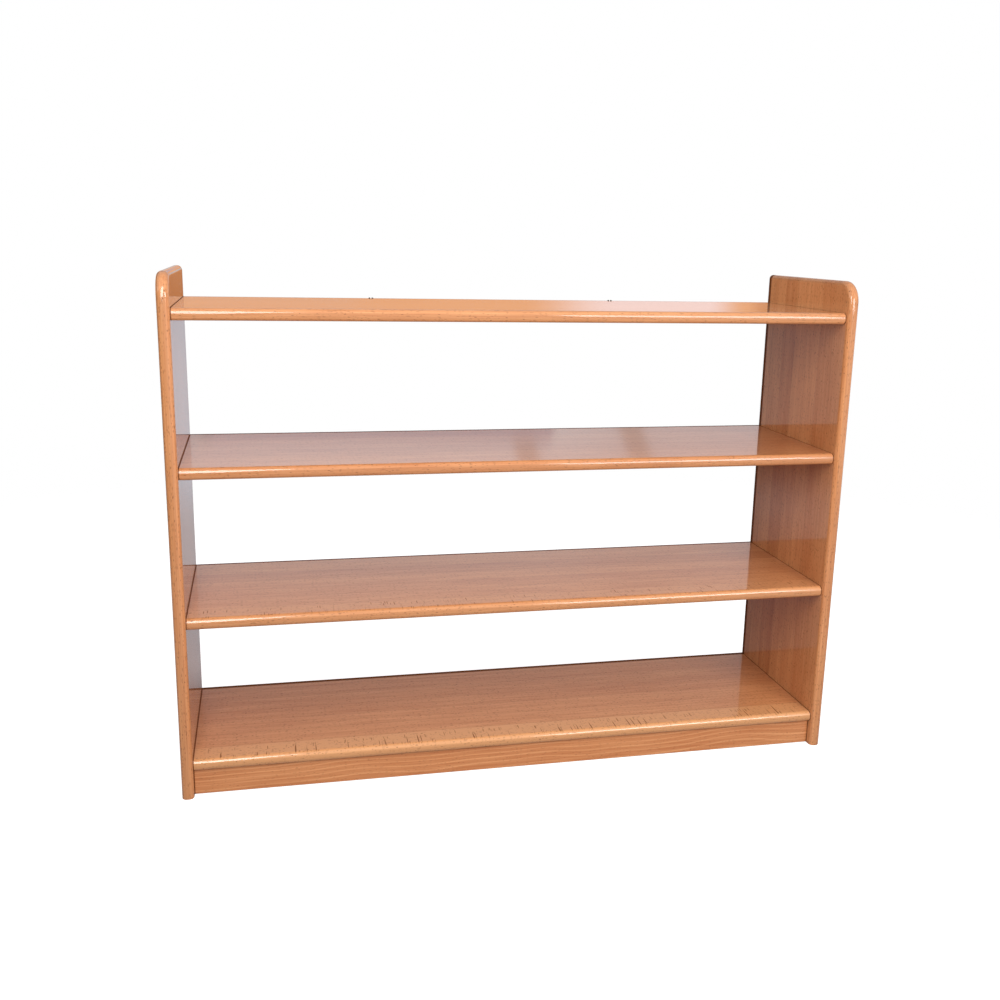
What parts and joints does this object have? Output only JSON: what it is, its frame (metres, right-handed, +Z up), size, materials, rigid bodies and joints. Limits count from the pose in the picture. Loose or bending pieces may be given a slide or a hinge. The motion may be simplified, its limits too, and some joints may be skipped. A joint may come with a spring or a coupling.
{
  "type": "montessori shelf",
  "caption": "Open-backed beech shelf unit for a child's room: level shelves between sides with rounded fronts, raised rims and a recessed plinth.",
  "frame": {"origin": "on the floor, under the middle of the unit's footprint", "axes": "+X along the shelves to the right side seen from the front, +Y from the open front to the rear, +Z up"},
  "size_m": [1.076, 0.3, 0.8],
  "materials": {
    "side_boards": "vertical beech staves under clear gloss lacquer",
    "shelf_boards": "lengthwise beech staves under clear gloss lacquer",
    "plinth_board": "flat-sawn beech under clear gloss lacquer",
    "dowels": "raw beech",
    "bolts": "zinc-plated steel",
    "cams": "die-cast zinc alloy",
    "wall_plates": "dark bronzed steel",
    "screws": "yellow zinc-plated steel"
  },
  "bodies": {
    "root": {"left_side": "side_boards", "right_side": "side_boards", "top_shelf": "shelf_boards", "upper_shelf": "shelf_boards", "lower_shelf": "shelf_boards", "bottom_shelf": "shelf_boards", "plinth": "plinth_board", "top_shelf_dowels": "dowels", "upper_shelf_dowels": "dowels", "lower_shelf_dowels": "dowels", "bottom_shelf_dowels": "dowels", "plinth_end_dowels": "dowels", "plinth_top_dowels": "dowels", "top_shelf_bolts": "bolts", "upper_shelf_bolts": "bolts", "lower_shelf_bolts": "bolts", "bottom_shelf_bolts": "bolts", "plinth_bolts": "bolts", "top_shelf_cams": "cams", "upper_shelf_cams": "cams", "lower_shelf_cams": "cams", "bottom_shelf_cams": "cams", "plinth_cams": "cams", "left_wall_plate": "wall_plates", "right_wall_plate": "wall_plates", "wall_plate_screws": "screws"}
  },
  "joints": []
}
